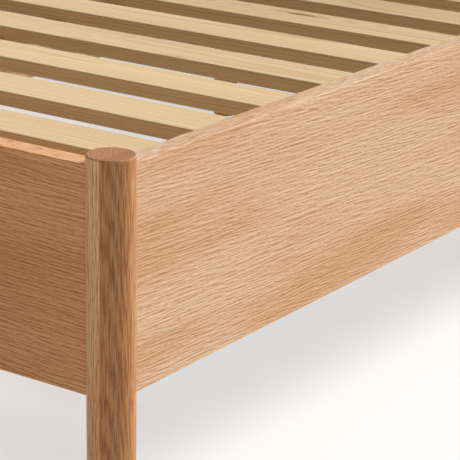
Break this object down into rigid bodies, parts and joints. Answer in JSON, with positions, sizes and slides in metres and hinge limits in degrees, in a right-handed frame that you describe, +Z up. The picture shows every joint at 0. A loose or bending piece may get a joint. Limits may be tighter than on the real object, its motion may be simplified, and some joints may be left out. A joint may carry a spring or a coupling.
{
  "type": "bed frame",
  "caption": "Double oak bed frame with round corner posts, wide flat rails let into the posts, a plain headboard and a lift-out slatted base on ledgers and a centre beam.",
  "frame": {"origin": "on the floor under the middle of the bed", "axes": "+Z up, +Y towards the head of the bed, +X to the right when seen from the foot"},
  "size_m": [1.695, 2.095, 0.902],
  "materials": {
    "oak": "oiled oak, crown and straight cut, satin",
    "softwood": "planed softwood, matt",
    "leg_wood": "turned oak, satin",
    "slat_wood": "planed softwood, matt",
    "beech": "turned beech, matt",
    "zinc_steel": "zinc plated",
    "staple_steel": "bright wire",
    "hanger_steel": "black powder coat, fine texture",
    "brass": "bright turned",
    "webbing": "woven tape",
    "nylon": "moulded, fine texture"
  },
  "bodies": {
    "frame": {"foot_post_left": "oak", "foot_post_right": "oak", "head_post_left": "oak", "head_post_right": "oak", "side_rail_left": "oak", "side_rail_right": "oak", "foot_rail": "oak", "head_rail": "oak", "headboard_panel": "oak", "side_ledger_left": "softwood", "side_ledger_right": "softwood", "centre_beam": "softwood", "centre_leg_foot": "leg_wood", "centre_leg_head": "leg_wood", "foot_glide_left": "nylon", "foot_glide_right": "nylon", "head_glide_left": "nylon", "head_glide_right": "nylon", "beam_hanger_foot": "hanger_steel", "beam_hanger_head": "hanger_steel", "rail_studs": "zinc_steel", "crescent_washers": "zinc_steel", "stud_nuts": "zinc_steel", "ledger_screws": "zinc_steel", "hanger_screws": "zinc_steel", "leg_studs": "zinc_steel", "leg_nuts": "zinc_steel", "post_inserts": "brass", "beam_inserts": "brass", "locating_dowels": "beech", "slat_pegs": "beech"},
    "slat_base": {"slat_01": "slat_wood", "slat_02": "slat_wood", "slat_03": "slat_wood", "slat_04": "slat_wood", "slat_05": "slat_wood", "slat_06": "slat_wood", "slat_07": "slat_wood", "slat_08": "slat_wood", "slat_09": "slat_wood", "slat_10": "slat_wood", "slat_11": "slat_wood", "slat_12": "slat_wood", "slat_13": "slat_wood", "slat_14": "slat_wood", "slat_strap_left": "webbing", "slat_strap_right": "webbing", "strap_staples": "staple_steel"},
    "foot_pad": {"adjuster_pad_foot": "nylon"},
    "foot_stem": {"adjuster_stem_foot": "zinc_steel"},
    "head_pad": {"adjuster_pad_head": "nylon"},
    "head_stem": {"adjuster_stem_head": "zinc_steel"}
  },
  "joints": [
    {"name": "slat_base_lift", "type": "slide", "parent": "frame", "child": "slat_base", "axis": [0, 0, 1], "range_m": [0, 0.25]},
    {"name": "foot_foot_height", "type": "slide", "parent": "frame", "child": "foot_pad", "axis": [0, 0, -1], "range_m": [-0.0098, 0.0175]},
    {"name": "foot_foot_turn", "type": "hinge", "parent": "foot_pad", "child": "foot_stem", "pos_m": [0, -0.35, 0.01], "axis": [0, 0, -1], "range_deg": [-2304, 4032]},
    {"name": "head_foot_height", "type": "slide", "parent": "frame", "child": "head_pad", "axis": [0, 0, -1], "range_m": [-0.0098, 0.0175]},
    {"name": "head_foot_turn", "type": "hinge", "parent": "head_pad", "child": "head_stem", "pos_m": [0, 0.35, 0.01], "axis": [0, 0, -1], "range_deg": [-2304, 4032]}
  ],
  "couplings": [
    {"joint": "foot_foot_height", "follows": "foot_foot_turn", "m_per_rad": 0.00019894},
    {"joint": "head_foot_height", "follows": "head_foot_turn", "m_per_rad": 0.00019894}
  ]
}
